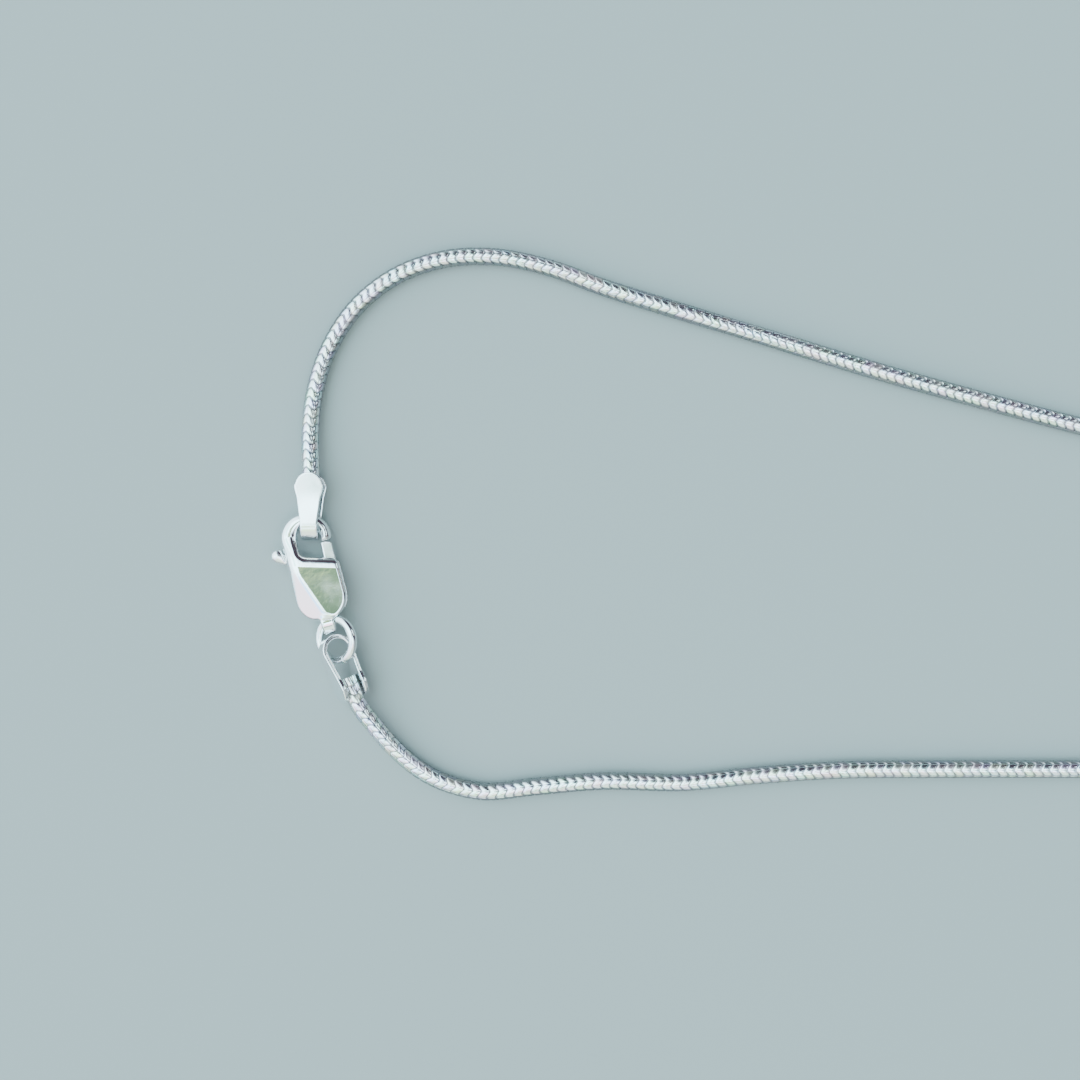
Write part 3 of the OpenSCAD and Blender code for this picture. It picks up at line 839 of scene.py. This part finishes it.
class Graph:
    """A node tree that is filled one node at a time."""

    def __init__(self, tree):
        self.tree = tree
        tree.nodes.clear()

    def add(self, kind, inputs=(), **settings):
        """Adds a node. Each input is a number, a colour or the socket that feeds it."""
        made = self.tree.nodes.new(kind)
        for name, value in settings.items():
            setattr(made, name, value)
        for name, value in dict(inputs).items():
            if isinstance(value, bpy.types.NodeSocket):
                self.tree.links.new(value, made.inputs[name])
            else:
                made.inputs[name].default_value = value
        return made

    def noise(self, where, scale, detail=2.0, distortion=0.0):
        """A noise value round 0.5 at a place, with this many lumps to the metre."""
        made = self.add("ShaderNodeTexNoise", {
            "Vector": where, "Scale": scale, "Detail": detail, "Distortion": distortion})
        return made.outputs["Fac"]

    def ramp(self, value, low, high, out_low=0.0, out_high=1.0):
        """Maps a value smoothly from one range to another."""
        made = self.add("ShaderNodeMapRange", {
            "Value": value, "From Min": low, "From Max": high, "To Min": out_low, "To Max": out_high},
            interpolation_type="SMOOTHSTEP")
        return made.outputs["Result"]

    def math(self, operation, a, b=0.0):
        """One sum or function of two numbers."""
        return self.add("ShaderNodeMath", {0: a, 1: b}, operation=operation).outputs["Value"]

    def mix(self, share_of, a, b):
        """A colour between two colours, from the Mix node's colour sockets."""
        made = self.add("ShaderNodeMix", {0: share_of, 6: a, 7: b}, data_type="RGBA")
        return made.outputs[2]


def rgba(value):
    """A colour with its alpha."""
    return (*value, 1.0)


def silver(piece, finish, high=None):
    """Polished silver: soft casting ripples, dimples and fine polishing marks, a roughness that varies, and a
    colour that turns warmer in places. Where high gives the chain's height, it has the chain's tiles and
    painted shade low on the chain's sides."""
    polish_factor, added, ripple, fine, crevice = SILVERS[piece]
    rough = polish_factor * finish.polish + added
    made = bpy.data.materials.new(piece + " silver")
    made.use_nodes = True
    g = Graph(made.node_tree)
    where = g.add("ShaderNodeTexCoord").outputs["Object"]
    stretched = g.add("ShaderNodeMapping", {
        "Vector": where, "Rotation": MARK_TURN, "Scale": MARK_STRETCH}).outputs["Vector"]
    patches = g.noise(where, PATCHES, detail=3.0)
    marks = g.noise(stretched, MARKS)
    ripples = g.noise(where, RIPPLES, distortion=0.3)
    dimples = g.noise(where, DIMPLES, detail=1.0)
    tone = g.mix(g.ramp(patches, *WARM_RANGE), rgba(finish.bright), rgba(finish.warm))
    dull = g.ramp(patches, *DULL_RANGE, rough, rough + DULL_RISE)
    bumps = [(ripples, ripple), (dimples, fine), (marks, MARK_DEPTH)]
    if crevice is not None:
        tone, dull = tarnish_hollows(g, finish, crevice, tone, dull)
    if high is not None:
        tone, dull, dome = chain_tiles(g, finish, where, high, tone, dull)
        bumps.insert(1, (dome, TILE_DOME))
    normal = {}
    for height, distance in bumps:
        bump = g.add("ShaderNodeBump", {"Height": height, "Strength": 1.0, "Distance": distance, **normal})
        normal = {"Normal": bump.outputs["Normal"]}
    shader = g.add("ShaderNodeBsdfPrincipled", {
        "Base Color": tone, "Roughness": dull, "Metallic": 1.0, **normal})
    g.add("ShaderNodeOutputMaterial", {"Surface": shader.outputs["BSDF"]})
    return made


def tarnish_hollows(g, finish, crevice, tone, dull):
    """The colour and roughness with tarnished silver where the metal's wear is below a value, as in its
    hollows.
    """
    wear = g.add("ShaderNodeAttribute", attribute_name="wear").outputs["Fac"]
    hollow = g.ramp(wear, crevice, HOLLOW_FULL)
    tone = g.mix(g.math("MULTIPLY", hollow, HOLLOW_DARK), tone, rgba(finish.tarnish_and_side_shade))
    return tone, g.math("ADD", dull, g.math("MULTIPLY", hollow, HOLLOW_DULL))


def chain_tiles(g, finish, where, high, tone, dull):
    """The colour and roughness with each tile's own random tint, with tarnished grooves and painted shade low
    on the chain's sides, and the tiles' doming: the square of the distance from a tile's middle."""
    uv = g.add("ShaderNodeUVMap", uv_map="UVMap").outputs["UV"]
    part = g.add("ShaderNodeSeparateXYZ", {"Vector": uv})
    link = part.outputs["X"]
    row = g.math("MULTIPLY", part.outputs["Y"], CHAIN_ROWS)
    near_groove = g.math("ABSOLUTE", g.math("SUBTRACT", g.math("FRACT", g.math("ADD", link, 0.5)), 0.5))
    groove = g.ramp(near_groove, *GROOVE_RANGE)
    tile = g.add("ShaderNodeCombineXYZ", {
        "X": g.math("FLOOR", link), "Y": g.math("FLOOR", row)}).outputs["Vector"]
    chance = g.add("ShaderNodeTexWhiteNoise", {"Vector": tile}, noise_dimensions="3D")
    across = g.math("SUBTRACT", g.math("FRACT", row), 0.5)
    inner = g.math("SUBTRACT", g.math("FRACT", link), 0.5)
    dome = g.math("ADD", g.math("MULTIPLY", across, across), g.math("MULTIPLY", inner, inner))
    height = g.add("ShaderNodeSeparateXYZ", {"Vector": where}).outputs["Z"]
    # Painted shade: the chain's colour darkens low on its sides, by height, as if in shade there
    low = g.ramp(height, *[part_of * high for part_of in SIDE_SHADE_RANGE], 0.0, SIDE_SHADE_DARK)
    tone = g.mix(TILE_TINT, tone, chance.outputs["Color"])
    # The grooves' tarnish and the painted side shade, whichever is greater
    tarnish_and_side_shade = g.math("MAXIMUM", g.math("MULTIPLY", groove, GROOVE_DARK), low)
    tone = g.mix(tarnish_and_side_shade, tone, rgba(finish.tarnish_and_side_shade))
    dull = g.math("ADD", dull, g.math("MULTIPLY", chance.outputs["Value"], TILE_DULL))
    return tone, g.math("ADD", dull, g.math("MULTIPLY", groove, GROOVE_DULL)), dome


# Operators


class NECKLACE_OT_snake_chain(bpy.types.Operator):
    """Builds the snake chain, link by link, along its route"""

    bl_idname = "necklace.snake_chain"
    bl_label = "Snake Chain"

    def execute(self, context):
        s = context.scene
        corners, faces, uv = snake_chain(s.necklace_chain, s.necklace_tab, s.necklace_clasp, s.necklace_ring)
        chain = add_piece(
            "chain_links", corners, faces, BODY, "chain_silver", "snake_chain",
            silver("chain", s.necklace_finish, s.necklace_chain.width))
        layer = chain.data.uv_layers.new(name="UVMap")
        layer.data.foreach_set("uv", uv.ravel())
        crease_grooves(chain.data)
        return {"FINISHED"}


class NECKLACE_OT_end_tabs(bpy.types.Operator):
    """Builds the two folded strip tabs on the chain's ends"""

    bl_idname = "necklace.end_tabs"
    bl_label = "End Tabs"

    def execute(self, context):
        s = context.scene
        tab = s.necklace_tab
        field = tab_field(tab, s.necklace_chain)
        material = silver("tab", s.necklace_finish)
        out = tab.bend + tab.thick
        wide = tab.wing / 2
        places = {
            "hook_end_tab": hook_tab_place(),
            "ring_end_tab": ring_tab_place(s.necklace_clasp, s.necklace_ring)}
        for node, place in places.items():
            add_cast_piece(
                node.replace("tab", "strip"), field, place, (-out, -out, -wide), (tab.leg + wide, out, wide),
                STRIP_GRID, body=BODY, slot="tab_silver", stands_for=node, material=material)
        return {"FINISHED"}


class NECKLACE_OT_clasp(bpy.types.Operator):
    """Builds the lobster clasp's cast body and its lever, and finishes its pin"""

    bl_idname = "necklace.clasp"
    bl_label = "Lobster Clasp"

    def execute(self, context):
        s = context.scene
        c = s.necklace_clasp
        finish = s.necklace_finish
        place = clasp_place()
        radius = c.width / 2
        casting = clasp_body_field(c, s.necklace_ring, place, ring_place(c, s.necklace_ring))
        add_cast_piece(
            "clasp_casting", casting, place,
            (-radius, -c.eye_far - c.eye, -c.thick / 2), (radius, radius, c.thick / 2), CASTING_GRID,
            body=BODY, slot="clasp_silver", stands_for="clasp_body",
            material=silver("clasp", finish))
        add_cast_piece(
            "clasp_gate", lever_field(c), place,
            (KNOB_AT[0] - c.knob, PIN_AT[1] - c.boss, -c.knob), (GATE_OUT, 0, c.knob), GATE_GRID,
            body=LEVER_BODY, slot="lever_silver", stands_for="clasp_lever",
            material=silver("lever", finish))
        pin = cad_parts["clasp_pin"]
        pin.data.materials.clear()
        pin.data.materials.append(silver("pin", finish))
        return {"FINISHED"}


class NECKLACE_OT_jump_ring(bpy.types.Operator):
    """Builds the jump ring of round wire"""

    bl_idname = "necklace.jump_ring"
    bl_label = "Jump Ring"

    def execute(self, context):
        s = context.scene
        turn, origin = ring_place(s.necklace_clasp, s.necklace_ring)
        corners, faces = ring_wire(s.necklace_ring)
        add_piece(
            "ring_wire", origin + corners @ turn.T, faces, BODY, "ring_silver", "jump_ring",
            silver("ring", s.necklace_finish))
        return {"FINISHED"}


# The stage

# The floor's half width, its roughness, its lumps to the metre and how dark it is at its darkest
FLOOR_REACH = 3.0
FLOOR_ROUGH = 0.7
FLOOR_LUMPS = 5
FLOOR_DARK = 0.97
# The point that the camera looks down on, at about half the clasp's height
VIEW_MIDDLE = np.array([-78.8, -1.5, 1.2]) * MM
# The width of the camera's sensor in millimetres, and the distances in metres between which it sees
SENSOR = 36.0
SEES_FROM = 0.005
SEES_TO = 20.0
# The sky's light where it has no card
SKY_LIGHT = (0.10, 0.11, 0.11)
# The sky's cards: each has its direction, the angles from it in degrees at which it ends and inside which
# it is full, and its colour. The broad ones come first, with the two dark ones that shade the silver's
# edges. The small ones are what the clasp's faces, the tabs and the ring reflect
SKY_CARDS = [
    ((0.0, 0.0, 1.0), 88, 72, (0.62, 0.72, 0.74)),
    ((-0.92, 0.38, 0.42), 60, 30, (2.9, 3.9, 4.4)),
    ((-0.25, -0.1, 1.0), 50, 30, (4.8, 6.9, 7.7)),
    ((0.1, -1.0, 0.60), 40, 20, (1.9, 2.4, 2.1)),
    ((-0.75, -0.55, 0.60), 20, 6, (3.2, 2.9, 3.3)),
    ((0.70, 0.75, 0.55), 54, 40, (0.085, 0.07, 0.095)),
    ((0.44, 0.47, 0.766), 32, 23, (0.085, 0.07, 0.095)),
    ((-0.55, -0.45, 1.0), 14, 5, (1.9, 3.0, 4.6)),
    ((0.15, -0.50, 1.0), 12, 4, (4.6, 3.1, 3.8)),
    ((-0.10, -0.85, 1.0), 12, 5, (2.2, 3.4, 2.0)),
    ((-0.60, 0.35, 1.0), 14, 5, (2.4, 4.4, 4.6)),
    ((-0.20, -0.30, 1.0), 11, 4, (1.7, 2.6, 1.6)),
    ((0.05, -0.70, 0.75), 9, 4, (0.36, 0.48, 0.40)),
    ((-0.015, 0.03, 1.0), 10, 7, (0.55, 0.90, 0.52)),
    ((-0.07, 0.07, 1.0), 4.5, 2, (1.0, 1.25, 0.6)),
    ((0.01, -0.02, 1.0), 4, 1, (0.24, 0.42, 0.25)),
    ((0.695, 0.434, 0.574), 12, 8, (3.0, 3.9, 4.1)),
    ((0.85, 0.25, 0.50), 4, 1.5, (4.0, 4.0, 3.4)),
    ((0.35, 0.30, 0.80), 4, 1.5, (3.0, 3.2, 3.4))]


class NECKLACE_OT_stage(bpy.types.Operator):
    """Sets up the plain floor, the soft light all round and the camera straight above"""

    bl_idname = "necklace.stage"
    bl_label = "Floor, Light and Camera"

    def execute(self, context):
        look = context.scene.necklace_stage
        self.floor(context.scene, look)
        self.light(context.scene, look)
        self.camera(context.scene, look)
        return {"FINISHED"}

    def floor(self, scene, look):
        """The floor: one square, painted with a colour that varies a little."""
        paint = bpy.data.materials.new("floor paint")
        paint.use_nodes = True
        g = Graph(paint.node_tree)
        where = g.add("ShaderNodeTexCoord").outputs["Object"]
        dark = rgba([FLOOR_DARK * v for v in look.floor])
        tone = g.mix(g.noise(where, FLOOR_LUMPS), rgba(look.floor), dark)
        shader = g.add("ShaderNodeBsdfPrincipled", {"Base Color": tone, "Roughness": FLOOR_ROUGH})
        g.add("ShaderNodeOutputMaterial", {"Surface": shader.outputs["BSDF"]})
        square = FLOOR_REACH * np.array([(-1, -1, 0), (1, -1, 0), (1, 1, 0), (-1, 1, 0)])
        mesh = bpy.data.meshes.new("floor")
        mesh.from_pydata(square, [], [(0, 1, 2, 3)])
        mesh.materials.append(paint)
        floor = bpy.data.objects.new("floor", mesh)
        scene.collection.objects.link(floor)

    def light(self, scene, look):
        """The soft sky of broad cards. The light from a direction is the last card's that holds it."""
        world = bpy.data.worlds.new("soft sky")
        scene.world = world
        world.use_nodes = True
        g = Graph(world.node_tree)
        way = g.add("ShaderNodeTexCoord").outputs["Generated"]
        light = rgba(SKY_LIGHT)
        for direction, ends, full, tint in SKY_CARDS:
            unit = np.array(direction) / np.linalg.norm(direction)
            near = g.add("ShaderNodeVectorMath", {0: way, 1: tuple(unit)}, operation="DOT_PRODUCT")
            edge, middle = [math.cos(math.radians(angle)) for angle in (ends, full)]
            inside = g.ramp(near.outputs["Value"], edge, middle)
            light = g.mix(inside, light, rgba(tint))
        sky = g.add("ShaderNodeBackground", {"Color": light, "Strength": look.light})
        g.add("ShaderNodeOutputWorld", {"Surface": sky.outputs["Background"]})

    def camera(self, scene, look):
        """The camera looks straight down on the clasp's end of the necklace, over the width of the view."""
        data = bpy.data.cameras.new("camera")
        data.sensor_width = SENSOR
        data.lens = SENSOR * look.camera_high / look.view_wide
        data.clip_start = SEES_FROM
        data.clip_end = SEES_TO
        camera = bpy.data.objects.new("camera", data)
        camera.location = VIEW_MIDDLE + (0, 0, look.camera_high)
        scene.collection.objects.link(camera)
        scene.camera = camera


class NECKLACE_PT_panel(bpy.types.Panel):
    """Lists the pieces of the necklace and their sizes"""

    bl_idname = "NECKLACE_PT_panel"
    bl_label = "Snake Chain Necklace"
    bl_space_type = "VIEW_3D"
    bl_region_type = "UI"
    bl_category = "Necklace"

    def draw(self, context):
        for operator in OPERATORS:
            self.layout.operator(operator.bl_idname)
        for name, group in GROUPS.items():
            box = self.layout.box()
            for field in group.__annotations__:
                box.prop(getattr(context.scene, name), field)


GROUPS = {
    "necklace_chain": ChainSizes,
    "necklace_tab": TabSizes,
    "necklace_clasp": ClaspSizes,
    "necklace_ring": RingSizes,
    "necklace_finish": SilverFinish,
    "necklace_stage": StageLook,
}
OPERATORS = (
    NECKLACE_OT_stage,
    NECKLACE_OT_snake_chain,
    NECKLACE_OT_end_tabs,
    NECKLACE_OT_clasp,
    NECKLACE_OT_jump_ring,
)


def register():
    """Registers the classes and gives the scene its groups of sizes."""
    for cls in (*GROUPS.values(), *OPERATORS, NECKLACE_PT_panel):
        bpy.utils.register_class(cls)
    for name, group in GROUPS.items():
        setattr(bpy.types.Scene, name, bpy.props.PointerProperty(type=group))


def unregister():
    """Takes the groups and the classes away again."""
    for name in GROUPS:
        delattr(bpy.types.Scene, name)
    for cls in (NECKLACE_PT_panel, *reversed(OPERATORS), *reversed(GROUPS.values())):
        bpy.utils.unregister_class(cls)


def main():
    """Registers the add-on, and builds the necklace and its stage."""
    register()
    for operator in OPERATORS:
        group, name = operator.bl_idname.split(".")
        getattr(getattr(bpy.ops, group), name)()


if __name__ == "__main__":
    main()
